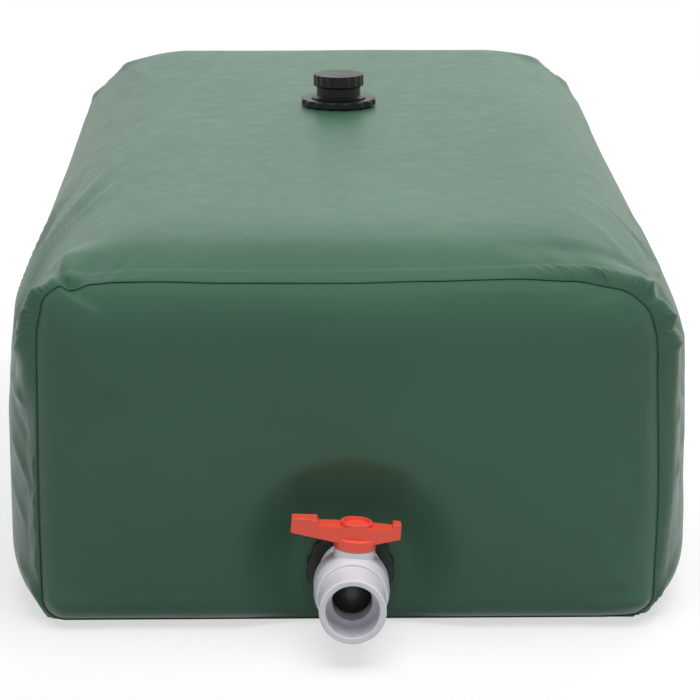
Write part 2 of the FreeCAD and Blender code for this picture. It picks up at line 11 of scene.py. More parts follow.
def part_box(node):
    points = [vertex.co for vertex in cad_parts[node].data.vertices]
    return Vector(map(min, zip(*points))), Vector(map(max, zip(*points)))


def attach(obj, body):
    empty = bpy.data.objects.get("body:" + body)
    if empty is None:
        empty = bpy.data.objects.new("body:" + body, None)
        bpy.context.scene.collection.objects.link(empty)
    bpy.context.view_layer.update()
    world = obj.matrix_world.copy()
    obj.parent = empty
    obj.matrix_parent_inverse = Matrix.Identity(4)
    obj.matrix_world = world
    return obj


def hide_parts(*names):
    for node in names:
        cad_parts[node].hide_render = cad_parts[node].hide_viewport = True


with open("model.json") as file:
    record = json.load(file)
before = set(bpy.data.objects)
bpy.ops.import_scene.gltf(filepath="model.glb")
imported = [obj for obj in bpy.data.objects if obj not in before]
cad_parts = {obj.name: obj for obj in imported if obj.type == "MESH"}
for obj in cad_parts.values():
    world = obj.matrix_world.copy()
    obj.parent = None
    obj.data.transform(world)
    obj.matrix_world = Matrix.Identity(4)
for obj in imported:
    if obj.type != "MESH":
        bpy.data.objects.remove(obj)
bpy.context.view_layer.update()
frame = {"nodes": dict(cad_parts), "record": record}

bl_info = {
    "name": "Collapsible Water Tank",
    "version": (1, 0, 0),
    "blender": (4, 5, 0),
    "location": "View3D > Sidebar > Water Tank",
    "description": "Welded fabric water tank with a screw filler and a ball valve outlet",
    "category": "Add Mesh",
}

# Sizes are in metres. The tank stands on z = 0 with its outlet towards -y.
WRAP_LOW, WRAP_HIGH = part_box("bag_wrap")
PANEL_LOW, PANEL_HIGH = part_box("front_panel")
PATCH_LOW, PATCH_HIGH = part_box("outlet_patch")
WRAP_LENGTH = WRAP_HIGH[1] - WRAP_LOW[1]
OUTLET_HEIGHT = (PATCH_LOW[2] + PATCH_HIGH[2]) / 2.0

# Gap in the welded seam between the wrap and the hem of an end panel
LAP = 0.0013


def length(name, description, default):
    return FloatProperty(name=name, description=description, default=default, unit="LENGTH", precision=4)


def strength(name, description, default):
    return FloatProperty(name=name, description=description, default=default, min=0.0)


def colour(name, description, default):
    return FloatVectorProperty(
        name=name, description=description, default=default, subtype="COLOR", size=3, min=0.0, max=1.0
    )


def linear(red, green, blue):
    """Scene-linear colour from 0 to 255 display values."""
    def channel(value):
        share = value / 255.0
        return share / 12.92 if share <= 0.04045 else ((share + 0.055) / 1.055) ** 2.4

    return channel(red), channel(green), channel(blue)


class TankBagSettings(bpy.types.PropertyGroup):
    seam_half_width: length("Seam half width", "Half width of the end seams", PANEL_HIGH[0] + LAP)
    seam_top: length("Seam top", "Height of the end seams", PANEL_HIGH[2] + LAP)
    seam_bottom: length("Seam bottom", "Height of the end seams above the ground", PANEL_LOW[2] - LAP)
    seam_shoulder: length("Seam shoulder", "Upper corner radius of the end seams", 0.068)
    seam_foot: length("Seam foot", "Lower corner radius of the end seams", 0.030)
    front_swell: length("Front swell", "Distance behind the front seam at which the bag is full", 0.27)
    rear_swell: length("Rear swell", "Distance before the rear seam at which the bag is full", 0.11)
    shoulder_width: length("Shoulder width", "Width of the full bag's rounded shoulder", 0.192)
    shoulder_height: length("Shoulder height", "Height of the full bag's rounded shoulder", 0.168)
    foot_width: length("Foot width", "Width of the full bag's rounded foot", 0.060)
    foot_height: length("Foot height", "Height of the full bag's rounded foot", 0.072)
    sheet: length("Sheet", "Thickness of the coated fabric", 0.0012)
    hem: length("Hem", "Width of the welded lap", 0.020)
    lap_step: length("Lap step", "How far the welded lap stands proud", 0.0008)
    groove: length("Groove", "Depth of the seam's groove", 0.0005)


class TankPanelSettings(bpy.types.PropertyGroup):
    face_out: length("Face out", "How far the panel's plane stands in front of its seam", 0.004)
    roll: length("Roll", "Width over which the panel rolls out of its seam", 0.085)
    roll_foot: length("Roll at foot", "Width of the roll along the ground", 0.030)
    roll_out: length("Roll out", "How far the roll brings the panel out", 0.025)
    dome: length("Dome", "Extra bulge at the panel's middle", 0.009)
    flat_radius: length("Flat radius", "Radius that the outlet's flanges hold flat", 0.068)
    flat_fade: length("Flat fade", "Distance over which the flat place fades out", 0.085)
    hole_radius: length("Hole radius", "Radius of the hole behind the outlet's flanges", 0.026)


class TankFoldSettings(bpy.types.PropertyGroup):
    gather_pitch: length("Gather pitch", "Distance from one small gather to the next", 0.0060)
    gather_height: length("Gather height", "Height of the small gathers", 0.0050)
    gather_run: length("Gather run", "How far the small gathers run back from the seam", 0.036)
    puff_depth: length("Puff depth", "Distance behind the seam at which the corners puff out most", 0.015)
    ripple: length("Ripple", "Height of the slow unevenness of the sheet", 0.0022)


class TankColourSettings(bpy.types.PropertyGroup):
    green: colour("Green sheet", "Coated fabric", linear(56, 91, 72))
    white: colour("White plastic", "Valve body", linear(222, 222, 229))
    red: colour("Red plastic", "Valve handle", linear(242, 86, 66))
    black: colour("Black plastic", "Nuts and cap", linear(17, 20, 19))
    ball: colour("Ball", "Valve ball", linear(38, 41, 38))
    rubber: colour("Rubber", "Seals", linear(24, 25, 25))
    ring: colour("Ring", "Rings that the ball bears on", linear(205, 205, 205))
    floor: colour("Floor", "Ground under the tank", linear(208, 208, 208))


class TankStageSettings(bpy.types.PropertyGroup):
    camera_place: FloatVectorProperty(
        name="Camera place", description="Where the camera stands",
        default=(-0.0621, -4.3948, 1.2582), unit="LENGTH",
    )
    camera_pitch: FloatProperty(
        name="Camera pitch", description="Tilt below the horizon",
        default=math.radians(14.407), subtype="ANGLE",
    )
    camera_yaw: FloatProperty(
        name="Camera yaw", description="Turn to the right",
        default=math.radians(0.994), subtype="ANGLE",
    )
    lens: FloatProperty(name="Lens", description="Focal length in millimetres", default=158.8, min=1.0)
    sky: strength("Sky", "Strength of the plain white surroundings", 0.31)
    overhead: strength("Overhead", "Power of the large lamp overhead", 98.0)
    behind: strength("Behind", "Power of the large lamp behind", 235.0)
    floor_glow: FloatProperty(
        name="Floor glow", description="Share of the floor's white that needs no light",
        default=0.62, min=0.0, max=1.0,
    )


SETTINGS = {
    "tank_bag": TankBagSettings,
    "tank_panel": TankPanelSettings,
    "tank_folds": TankFoldSettings,
    "tank_colours": TankColourSettings,
    "tank_stage": TankStageSettings,
}


def smooth(value):
    """Share from 0 to 1 with a soft start and end."""
    value = min(max(value, 0.0), 1.0)
    return value * value * (3.0 - 2.0 * value)


def blend(start, end, share):
    return start + (end - start) * share


# Bag form

# Stretches of the section's right half from the middle of its underside to the middle of its top,
# with the columns of mesh on each, and the same mirrored back down the left half
HALF_SECTION = (("floor", 10), ("foot", 16), ("side", 60), ("shoulder", 112), ("top", 120))
STRETCHES = (
    *((part, 1.0, count) for part, count in HALF_SECTION),
    *((part, -1.0, count) for part, count in reversed(HALF_SECTION)),
)

# How strongly the top's columns crowd towards the shoulders
TOP_CROWDING = 1.7

# How soon behind its seam the section swells, and how much sooner it settles on the ground
SWELL_SHARPNESS = 3.5
SETTLE_SPEED = 3.0


def section(bag, depth, run):
    """Half width, bottom, top, shoulder radii and foot radii at a depth behind the nearer seam."""
    share = 1.0 - (1.0 - min(depth / run, 1.0)) ** SWELL_SHARPNESS
    settle = smooth(SETTLE_SPEED * depth / run)
    return (
        blend(bag.seam_half_width, WRAP_HIGH[0], share),
        blend(bag.seam_bottom, 0.0, settle),
        blend(bag.seam_top, WRAP_HIGH[2], share),
        blend(bag.seam_shoulder, bag.shoulder_width, share),
        blend(bag.seam_shoulder, bag.shoulder_height, share),
        blend(bag.seam_foot, bag.foot_width, share),
        blend(bag.seam_foot, bag.foot_height, share),
    )


def ring_point(sizes, part, side, share):
    """Point (x, z) and outward normal (x, z) at a share of one stretch of the section."""
    half, low, high, shoulder_x, shoulder_z, foot_x, foot_z = sizes
    if side < 0.0:
        share = 1.0 - share
    if part == "floor":
        place, normal = (blend(0.0, half - foot_x, share), low), (0.0, -1.0)
    elif part == "side":
        place, normal = (half, blend(low + foot_z, high - shoulder_z, share)), (1.0, 0.0)
    elif part == "top":
        place, normal = (blend(half - shoulder_x, 0.0, share), high), (0.0, 1.0)
    else:
        turn = math.radians(90.0 * share - (90.0 if part == "foot" else 0.0))
        radius_x, radius_z = (foot_x, foot_z) if part == "foot" else (shoulder_x, shoulder_z)
        centre_z = low + foot_z if part == "foot" else high - shoulder_z
        place = (half - radius_x + radius_x * math.cos(turn), centre_z + radius_z * math.sin(turn))
        slope = Vector((math.cos(turn) / radius_x, math.sin(turn) / radius_z)).normalized()
        normal = (slope.x, slope.y)
    return (side * place[0], place[1]), (side * normal[0], normal[1])


def ring_columns(bag):
    """Part, side, share and girth of each column, girth being the seam's length from the top's middle."""
    columns = []
    for part, side, count in STRETCHES:
        for step in range(count):
            share = step / count
            if part == "top":
                share = share ** TOP_CROWDING if side > 0.0 else 1.0 - (1.0 - share) ** TOP_CROWDING
            columns.append((part, side, share))
    columns.append((*STRETCHES[-1][:2], 1.0))
    rim = section(bag, 0.0, bag.front_swell)
    places = [Vector(ring_point(rim, *column)[0]) for column in columns]
    walked = [0.0]
    for before, after in zip(places, places[1:]):
        walked.append(walked[-1] + (after - before).length)
    top = walked[-1] / 2.0
    return [(*column, top - distance) for column, distance in zip(columns, walked)]


# Folds

# Ridges in the wrap: places (depth behind the seam, girth) from the seam inwards, half widths at
# the first and last place, height and how sharp the crest is
RIDGES = {
    "front": (
        (((0.000, -0.3340), (0.030, -0.3400), (0.090, -0.3470), (0.150, -0.3530)),
         0.0110, 0.0150, 0.0130, 0.2),
        (((0.000, -0.3430), (0.040, -0.3500), (0.120, -0.3580)), 0.0040, 0.0060, -0.0050, 0.3),
        (((0.020, -0.4060), (0.090, -0.3880), (0.190, -0.3715), (0.290, -0.3580), (0.365, -0.3450),
          (0.540, -0.3200)), 0.0036, 0.0045, 0.0090, 0.9),
        (((0.050, -0.4070), (0.145, -0.3840), (0.260, -0.3720), (0.380, -0.3520), (0.560, -0.3280)),
         0.0034, 0.0036, -0.0055, 0.5),
        (((0.080, -0.4090), (0.145, -0.3910), (0.225, -0.3840), (0.300, -0.3780), (0.370, -0.3650),
          (0.520, -0.3440), (0.760, -0.3300)), 0.0055, 0.0060, 0.0065, 0.6),
        (((0.200, -0.3960), (0.425, -0.3830), (0.525, -0.3740), (0.600, -0.3620), (0.800, -0.3500)),
         0.0034, 0.0034, -0.0050, 0.5),
        (((0.220, -0.4040), (0.425, -0.3910), (0.600, -0.3730), (0.900, -0.3640)),
         0.0050, 0.0050, 0.0055, 0.6),
        (((0.000, -0.3850), (0.020, -0.3930), (0.045, -0.4000)), 0.0030, 0.0050, 0.0030, 0.7),
        (((0.000, -0.4130), (0.020, -0.4190), (0.050, -0.4260)), 0.0040, 0.0070, 0.0034, 0.6),
        (((0.020, -0.4950), (0.060, -0.4620), (0.120, -0.4260)), 0.0100, 0.0120, 0.0055, 0.6),
        (((0.015, -0.5450), (0.060, -0.5050), (0.120, -0.4600)), 0.0090, 0.0120, -0.0034, 0.4),
        (((0.015, -0.6000), (0.060, -0.5560), (0.120, -0.5150)), 0.0120, 0.0150, 0.0048, 0.4),
        (((0.030, -0.6600), (0.130, -0.5900)), 0.0120, 0.0150, 0.0030, 0.4),
        (((0.000, 0.3480), (0.030, 0.3500), (0.075, 0.3520)), 0.0060, 0.0080, 0.0040, 0.4),
        (((0.000, 0.3590), (0.030, 0.3600), (0.065, 0.3640), (0.120, 0.3740)), 0.0040, 0.0060, 0.0075, 0.5),
        (((0.000, 0.3700), (0.040, 0.3720), (0.080, 0.3780)), 0.0046, 0.0060, -0.0050, 0.4),
        (((0.000, 0.3950), (0.030, 0.3930), (0.070, 0.3880)), 0.0050, 0.0070, 0.0050, 0.5),
        (((0.000, 0.4260), (0.008, 0.4120), (0.034, 0.3990), (0.110, 0.3910)), 0.0036, 0.0050, -0.0060, 0.5),
        (((0.000, 0.4400), (0.014, 0.4220), (0.050, 0.4080), (0.135, 0.3990)), 0.0060, 0.0090, 0.0055, 0.5),
        (((0.110, 0.3640), (0.165, 0.3710), (0.250, 0.3700), (0.310, 0.3580), (0.450, 0.3380)),
         0.0034, 0.0036, 0.0040, 0.8),
        (((0.120, 0.3560), (0.185, 0.3570), (0.250, 0.3540), (0.310, 0.3480), (0.440, 0.3240)),
         0.0040, 0.0044, 0.0026, 0.7),
        (((0.200, 0.3780), (0.310, 0.3740), (0.465, 0.3740), (0.545, 0.3690), (0.700, 0.3600)),
         0.0036, 0.0034, 0.0036, 0.7),
        (((0.160, 0.3660), (0.255, 0.3650), (0.320, 0.3530), (0.460, 0.3330)), 0.0030, 0.0030, -0.0024, 0.5),
        (((0.080, 0.3430), (0.115, 0.3430), (0.200, 0.3330), (0.320, 0.3100)), 0.0040, 0.0060, 0.0018, 0.5),
        (((0.020, 0.5200), (0.120, 0.4550)), 0.0120, 0.0140, 0.0030, 0.4),
        (((0.020, 0.6000), (0.130, 0.5300)), 0.0130, 0.0150, 0.0030, 0.4),
        (((0.000, 0.7500), (0.090, 0.7350)), 0.0090, 0.0140, 0.0045, 0.5),
        (((0.000, 0.7750), (0.080, 0.7800)), 0.0070, 0.0120, 0.0045, 0.5),
        (((0.000, -0.7450), (0.090, -0.7300)), 0.0090, 0.0140, 0.0045, 0.5),
        (((0.000, -0.7720), (0.080, -0.7780)), 0.0070, 0.0120, 0.0045, 0.5),
    ),
    "rear": (
        (((0.000, 0.3450), (0.090, 0.3350)), 0.0090, 0.0160, 0.0065, 0.5),
        (((0.000, 0.3720), (0.100, 0.3680)), 0.0060, 0.0110, 0.0070, 0.6),
        (((0.000, 0.4000), (0.120, 0.4040)), 0.0070, 0.0140, 0.0065, 0.5),
        (((0.000, -0.3500), (0.100, -0.3440)), 0.0080, 0.0150, 0.0065, 0.5),
        (((0.000, -0.3800), (0.090, -0.3780)), 0.0060, 0.0110, 0.0070, 0.6),
        (((0.000, -0.4070), (0.110, -0.4120)), 0.0080, 0.0140, 0.0060, 0.5),
        (((0.030, 0.3660), (0.200, 0.3700), (0.480, 0.3500)), 0.0040, 0.0034, 0.0036, 0.8),
        (((0.030, 0.3800), (0.620, 0.3730)), 0.0040, 0.0032, 0.0036, 0.8),
        (((0.040, 0.3520), (0.360, 0.3300)), 0.0044, 0.0044, 0.0020, 0.6),
        (((0.030, -0.3640), (0.200, -0.3680), (0.500, -0.3480)), 0.0040, 0.0034, 0.0036, 0.8),
        (((0.030, -0.3800), (0.640, -0.3740)), 0.0040, 0.0032, 0.0036, 0.8),
        (((0.040, -0.3500), (0.380, -0.3250)), 0.0044, 0.0044, 0.0020, 0.6),
        (((0.000, 0.7580), (0.080, 0.7500)), 0.0090, 0.0140, 0.0045, 0.5),
        (((0.000, -0.7580), (0.080, -0.7500)), 0.0090, 0.0140, 0.0045, 0.5),
    ),
}

# Small gathers along the seams: first girth, last girth and share of the full height
GATHERED = {
    "front": ((0.190, 0.360, 1.0), (0.366, 0.450, 0.7), (-0.470, -0.352, 0.9), (-0.300, -0.230, 0.20),
              (0.560, 0.800, 0.7), (-0.800, -0.560, 0.8)),
    "rear": ((0.230, 0.450, 0.9), (-0.450, -0.230, 0.9), (0.640, 0.800, 0.7), (-0.800, -0.640, 0.7)),
}

# How far the bag puffs out close behind its seam, by girth, and how far it stays back behind that
PUFFS = {
    "front": ((-0.520, 0.000, 0.000), (-0.450, 0.007, -0.003), (-0.410, 0.013, -0.005),
              (-0.375, 0.013, -0.005), (-0.354, 0.005, 0.000), (-0.344, 0.000, 0.000),
              (0.190, 0.000, 0.000), (0.250, 0.005, 0.000), (0.320, 0.011, 0.000),
              (0.360, 0.015, -0.002), (0.400, 0.016, -0.004), (0.440, 0.014, -0.003),
              (0.520, 0.011, -0.002), (0.620, 0.008, -0.002), (0.700, 0.005, 0.000), (0.760, 0.000, 0.000)),
    "rear": ((-0.480, 0.000, 0.000), (-0.420, 0.008, 0.000), (-0.360, 0.008, 0.000), (-0.260, 0.000, 0.000),
             (0.260, 0.000, 0.000), (0.360, 0.008, 0.000), (0.420, 0.008, 0.000), (0.480, 0.000, 0.000)),
}

# Distance by which the seam leaves its even line, by girth
SEAM_LINE = {
    "front": ((-0.800, 0.0000), (-0.620, 0.0016), (-0.450, 0.0000), (-0.393, -0.0014), (-0.368, 0.0042),
              (-0.347, 0.0026), (-0.3385, -0.0085), (-0.331, -0.0108), (-0.305, -0.0070), (-0.280, -0.0046),
              (-0.230, -0.0040), (-0.150, -0.0060), (0.000, -0.0066), (0.090, -0.0047), (0.200, -0.0025),
              (0.264, -0.0054), (0.318, -0.0138), (0.356, -0.0142), (0.394, -0.0115), (0.441, -0.0062),
              (0.620, -0.0016), (0.770, -0.0050), (0.800, 0.0000)),
    "rear": ((-0.480, 0.0000), (-0.360, -0.0060), (-0.250, -0.0010), (0.080, 0.0012), (0.260, -0.0010),
             (0.360, -0.0050), (0.480, 0.0000)),
}

# A ridge reaches so many half widths to each side. It begins ahead of its first place by a share
# of its length, rises over a share or, at the seam, over a run, and fades from a share on.
RIDGE_REACH = 4.5
RIDGE_LEAD = 0.3
RIDGE_RISE = 0.20
RIDGE_RISE_LEAD = 0.05
RIDGE_FADE_FROM = 0.45
RIDGE_SEAM_RUN = 0.010
RIDGE_AT_SEAM = 0.005
RIDGE_PEAK = 1.2

# A puff rises roundly from the seam, settles over so many puff depths and fades farther in
PUFF_ROUNDNESS = 0.9
PUFF_SETTLING = 4.0
PUFF_FADE_FROM = 0.10
PUFF_FADE_RUN = 0.26

# Small gathers: girth over which a gathered stretch comes in and goes out, depth over which the
# gathers rise from the seam, how round their crests are and how far they wander sideways
GATHER_IN = 0.05
GATHER_OUT = 0.010
GATHER_PINCH = 0.005
GATHER_ROUNDNESS = 0.8
GATHER_WANDER = 0.0016
GATHER_WANDER_WAVES = (45.0, 24.0)
GATHER_WANDER_ROW = 1.7

# Gathers differ along the seam in height and in reach: base, change and waves per metre of girth,
# and the row of the noise that gives them. The reach is a share of the run, and has an upper limit
# as a share and a lower one as a depth.
GATHER_HEIGHTS = (0.75, 0.65, 70.0)
GATHER_HEIGHTS_ROW = (0.3, 4.1)
GATHER_REACHES = (0.62, 0.50, 85.0)
GATHER_REACHES_ROW = (2.0, 0.0)
GATHER_LONGEST = 1.3
GATHER_SHORTEST = 0.008

# Depth behind the seam over which the bag takes up the seam line's wander
WANDER_RUN = 0.10

# Slow unevenness of the sheet: waves per metre, offset of the finer waves and share of the broad ones
BROAD_WAVES = Vector((3.1, 2.3, 3.1))
FINE_WAVES = Vector((9.0, 7.0, 9.0))
FINE_SHIFT = Vector((0.0, 5.0, 0.0))
BROAD_SHARE = 0.75


def bump(offset, half_width):
    """Round hump that is 1 in its middle."""
    return math.exp(-(offset / half_width) ** 2)


def crest(offset, half_width, sharp):
    """Cross section of a fold: round where sharp is 0 and peaked where it is 1."""
    peaked = math.exp(-RIDGE_PEAK * abs(offset) / half_width)
    return blend(bump(offset, half_width), peaked, sharp)


def between(rows, place):
    """Values of the row at a place, read smoothly between the rows of a table."""
    if place <= rows[0][0]:
        return rows[0][1:]
    for before, after in zip(rows, rows[1:]):
        if place <= after[0]:
            share = smooth((place - before[0]) / (after[0] - before[0]))
            return tuple(blend(low, high, share) for low, high in zip(before[1:], after[1:]))
    return rows[-1][1:]


def curve_between(rows, place):
    """Value at a place on a smooth curve through the (place, value) rows."""
    index = min(max(bisect.bisect_left(rows, (place,)), 1), len(rows) - 1)
    (start, first), (stop, last) = rows[index - 1:index + 1]
    before, after = rows[max(index - 2, 0)], rows[min(index + 1, len(rows) - 1)]
    run, rise = stop - start, last - first
    leave = (last - before[1]) / (stop - before[0]) * run
    arrive = (after[1] - first) / (after[0] - start) * run
    share = min(max((place - start) / run, 0.0), 1.0)
    square = 3.0 * rise - 2.0 * leave - arrive
    cube = leave + arrive - 2.0 * rise
    return first + share * leave + share ** 2 * square + share ** 3 * cube


def seam_wander(end, girth):
    """Distance by which the seam leaves its even line."""
    return between(SEAM_LINE[end], girth)[0]


def ridge_height(girth, depth, ridge):
    """Height that one row of RIDGES adds at one place."""
    places, first_width, last_width, rise, sharp = ridge
    first, last = places[0][0], places[-1][0]
    along = (depth - first) / (last - first)
    if not -RIDGE_LEAD <= along <= 1.0:
        return 0.0
    offset = girth - curve_between(places, max(depth, first))
    half_width = blend(first_width, last_width, max(along, 0.0))
    if abs(offset) > RIDGE_REACH * half_width:
        return 0.0
    if first < RIDGE_AT_SEAM:
        start = smooth(depth / RIDGE_SEAM_RUN)
    else:
        start = smooth((along + RIDGE_RISE_LEAD) / RIDGE_RISE)
    fade = 1.0 - smooth((along - RIDGE_FADE_FROM) / (1.0 - RIDGE_FADE_FROM))
    return rise * crest(offset, half_width, sharp) * start * fade


def puff_height(end, girth, depth, folds):
    """Rise of the sheet close behind its seam, and its set-back farther in."""
    rise, after = between(PUFFS[end], girth)
    if not rise:
        return 0.0
    share = depth / folds.puff_depth
    if share < 1.0:
        return rise * math.sin(math.pi / 2.0 * share) ** PUFF_ROUNDNESS
    settled = blend(rise, after, smooth((share - 1.0) / PUFF_SETTLING))
    return settled * (1.0 - smooth((depth - PUFF_FADE_FROM) / PUFF_FADE_RUN))


def change(spread, girth, row):
    """Random value along the seam: base, change and waves per metre, on a row of the noise."""
    base, amount, waves = spread
    return base + amount * noise.noise(Vector((girth * waves, *row)))


def gather_height(end, girth, depth, folds):
    """Fine gathers, pinched at the seam and dying out behind it."""
    height = 0.0
    for first, last, share in GATHERED[end]:
        if first < girth < last and depth < GATHER_LONGEST * folds.gather_run:
            inside = smooth((girth - first) / GATHER_IN) * smooth((last - girth) / GATHER_OUT)
            across, along = GATHER_WANDER_WAVES
            spot = Vector((girth * across, depth * along, GATHER_WANDER_ROW))
            wander = GATHER_WANDER * noise.noise(spot)
            wave = abs(math.sin(math.pi * (girth + wander) / folds.gather_pitch)) ** GATHER_ROUNDNESS
            uneven = change(GATHER_HEIGHTS, girth, GATHER_HEIGHTS_ROW)
            reach = folds.gather_run * change(GATHER_REACHES, girth, GATHER_REACHES_ROW)
            reach = max(reach, GATHER_SHORTEST)
            fade = (1.0 - smooth(depth / reach)) * smooth(depth / GATHER_PINCH)
            height += share * folds.gather_height * wave * uneven * inside * fade
    return height


def fold_height(end, girth, depth, folds):
    """Height that gathers and folds add to the sheet at one place."""
    height = gather_height(end, girth, depth, folds) + puff_height(end, girth, depth, folds)
    height += seam_wander(end, girth) * (1.0 - smooth(depth / WANDER_RUN))
    return height + sum(ridge_height(girth, depth, ridge) for ridge in RIDGES[end])


def sheet_ripple(place, amount):
    """Slow unevenness of a filled sheet."""
    broad = noise.noise(place * BROAD_WAVES)
    fine = noise.noise(place * FINE_WAVES + FINE_SHIFT)
    return amount * blend(fine, broad, BROAD_SHARE)


# Sheets of mesh


def sheet_grid(columns, rows):
    """Flat grid mesh, 1 by 1, with its middle at the origin."""
    mesh = bmesh.new()
    bmesh.ops.create_grid(mesh, x_segments=columns - 1, y_segments=rows - 1, size=0.5)
    return mesh


def by_column_and_row(mesh, columns, rows):
    """Vertices of a sheet grid by their column and row."""
    return {
        (round((vertex.co.x + 0.5) * (columns - 1)), round((vertex.co.y + 0.5) * (rows - 1))): vertex
        for vertex in mesh.verts
    }


def finish_piece(mesh, name, body, material):
    """Turns a bmesh into a smooth piece that rides on a body and takes its finish from a slot."""
    data = bpy.data.meshes.new(name)
    for face in mesh.faces:
        face.smooth = True
    mesh.to_mesh(data)
    mesh.free()
    piece = bpy.data.objects.new(name, data)
    bpy.context.scene.collection.objects.link(piece)
    data.materials.append(material)
    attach(piece, body)
    return piece


def turn_hem(mesh, moves):
    """Turns the open rims by a chain of moves, each a function from a rim vertex to its shift."""
    rim = [edge for edge in mesh.edges if edge.is_boundary]
    for move in moves:
        extruded = bmesh.ops.extrude_edge_only(mesh, edges=rim)["geom"]
        rim = [item for item in extruded if isinstance(item, bmesh.types.BMEdge)]
        for vertex in {vertex for edge in rim for vertex in edge.verts}:
            vertex.co += move(vertex.co)
    bmesh.ops.recalc_face_normals(mesh, faces=mesh.faces)


# Wrap

# Rows of mesh behind each seam: first step, growth of the next ones and longest step
ROW_STEP = 0.0016
ROW_GROWTH = 1.060
ROW_LONGEST = 0.024

# Height from which the sheet ripples, and depth behind the seam over which the ripple comes in
RIPPLE_FROM = 0.02
RIPPLE_RUN = 0.08

# Distance over which the lap and the groove step down, and distance at which vertices are merged
STEP_RUN = 0.003
SAME_PLACE = 0.00001


def row_depths():
    """Depths of the rows from the front seam to the rear one, closest at the seams."""
    near = [0.0]
    step = ROW_STEP
    while near[-1] + step < WRAP_LENGTH / 2.0:
        near.append(near[-1] + step)
        step = min(step * ROW_GROWTH, ROW_LONGEST)
    return near + [WRAP_LENGTH - depth for depth in reversed(near)]


def wrap_point(bag, folds, end, depth, y, sizes, column):
    """Place of one vertex of the wrap with its folds, depth being measured from the nearer seam."""
    part, side, share, girth = column
    (x, z), (normal_x, normal_z) = ring_point(sizes, part, side, share)
    height = fold_height(end, girth, depth, folds)
    if z > RIPPLE_FROM:
        height += sheet_ripple(Vector((x, y, z)), folds.ripple) * smooth(depth / RIPPLE_RUN)
    height += bag.lap_step * (1.0 - smooth((depth - bag.hem) / STEP_RUN))
    height -= bag.groove * (1.0 - smooth(depth / STEP_RUN))
    return Vector((x + normal_x * height, y, max(z + normal_z * height, 0.0)))


def build_wrap(scene):
    """The sheet that makes top, sides and underside, folded at its seams, with its hems turned in."""
    bag, folds = scene.tank_bag, scene.tank_folds
    columns, depths = ring_columns(bag), row_depths()
    mesh = sheet_grid(len(columns), len(depths))
    table = by_column_and_row(mesh, len(columns), len(depths))
    for row, from_front in enumerate(depths):
        end = "front" if from_front < WRAP_LENGTH / 2.0 else "rear"
        depth = min(from_front, WRAP_LENGTH - from_front)
        sizes = section(bag, depth, bag.front_swell if end == "front" else bag.rear_swell)
        for index, column in enumerate(columns):
            place = wrap_point(bag, folds, end, depth, WRAP_LOW[1] + from_front, sizes, column)
            table[index, row].co = place
    bmesh.ops.remove_doubles(mesh, verts=mesh.verts, dist=SAME_PLACE)
    middle = Vector((0.0, 0.0, (bag.seam_top + bag.seam_bottom) / 2.0))

    def inwards(place):
        inner = (middle - place) * Vector((1.0, 0.0, 1.0))
        return inner.normalized() * bag.sheet

    def backwards(place):
        return Vector((0.0, math.copysign(bag.hem, -place.y), 0.0))

    turn_hem(mesh, (inwards, backwards))
    piece = finish_piece(mesh, "wrap_sheet", "tank", green_sheet(scene))
    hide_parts("bag_wrap")


# End panels

# Columns and rows of mesh
PANEL_GRID = (150, 92)

# Soft folds on the front panel: ends (x, z), half width and height
PANEL_FOLDS = (
    ((0.345, 0.090), (0.352, 0.270), 0.012, 0.0030),
    ((0.318, 0.060), (0.300, 0.200), 0.030, 0.0022),
    ((-0.350, 0.080), (-0.352, 0.250), 0.012, 0.0022),
    ((0.366, 0.030), (0.300, 0.022), 0.010, 0.0040),
    ((0.362, 0.050), (0.318, 0.045), 0.008, -0.0022),
    ((0.352, 0.372), (0.300, 0.300), 0.014, 0.0026),
    ((-0.352, 0.380), (-0.290, 0.310), 0.016, 0.0026),
    ((-0.366, 0.036), (-0.310, 0.030), 0.010, 0.0026),
    ((0.060, 0.140), (0.082, 0.250), 0.016, 0.0014),
    ((-0.052, 0.138), (-0.080, 0.235), 0.018, 0.0012),
)

# How soon the roll comes out, heights between which the foot's roll widens to the full one, and
# distance from the seam over which the panel's plane comes forward
ROLL_SHARPNESS = 2.4
FOOT_ROLL_FROM = 0.01
FOOT_ROLL_RUN = 0.10
FACE_RUN = 0.012

# Distance round the outlet that stays without ripples, and distance over which they come in
CALM_RADIUS = 0.066
CALM_FADE = 0.05

# Shares of the way in from the rim over which ripples and folds come in and the rim follows its
# seam, and how much closer the ripples are than on the wrap
RIPPLE_EDGE = 0.2
FOLD_EDGE = 0.03
SEAM_PULL = 0.2
PANEL_RIPPLES = 1.4

# Angle under which two places of the rim count as one
SAME_ANGLE = 1e-9


def rim_places(bag, end):
    """Even rim of a panel as (angle round its middle, x, z), and how far the seam line leaves it there."""
    middle = (bag.seam_top + bag.seam_bottom) / 2.0
    sizes = section(bag, 0.0, bag.front_swell)
    places = []
    for part, side, share, girth in ring_columns(bag):
        (x, z), (normal_x, normal_z) = ring_point(sizes, part, side, share)
        wander = seam_wander(end, girth)
        x, z = x - normal_x * LAP, z - normal_z * LAP
        places.append((math.atan2(z - middle, x), x, z, normal_x * wander, normal_z * wander))
    return sorted(places)


def rim_place(places, angle):
    """Point (x, z) and shift (x, z) of the rim in one direction from the panel's middle."""
    index = bisect.bisect_left(places, (angle,))
    before, after = places[index - 1], places[index % len(places)]
    gap = (after[0] - before[0]) % (2.0 * math.pi)
    share = ((angle - before[0]) % (2.0 * math.pi)) / gap if gap > SAME_ANGLE else 0.0
    return tuple(blend(low, high, share) for low, high in zip(before[1:], after[1:]))


def segment_distance(x, z, start, end):
    """Distance from a point to a segment."""
    first, last, point = Vector(start), Vector(end), Vector((x, z))
    run = last - first
    share = min(max((point - first).dot(run) / run.length_squared, 0.0), 1.0)
    return (point - first - run * share).length


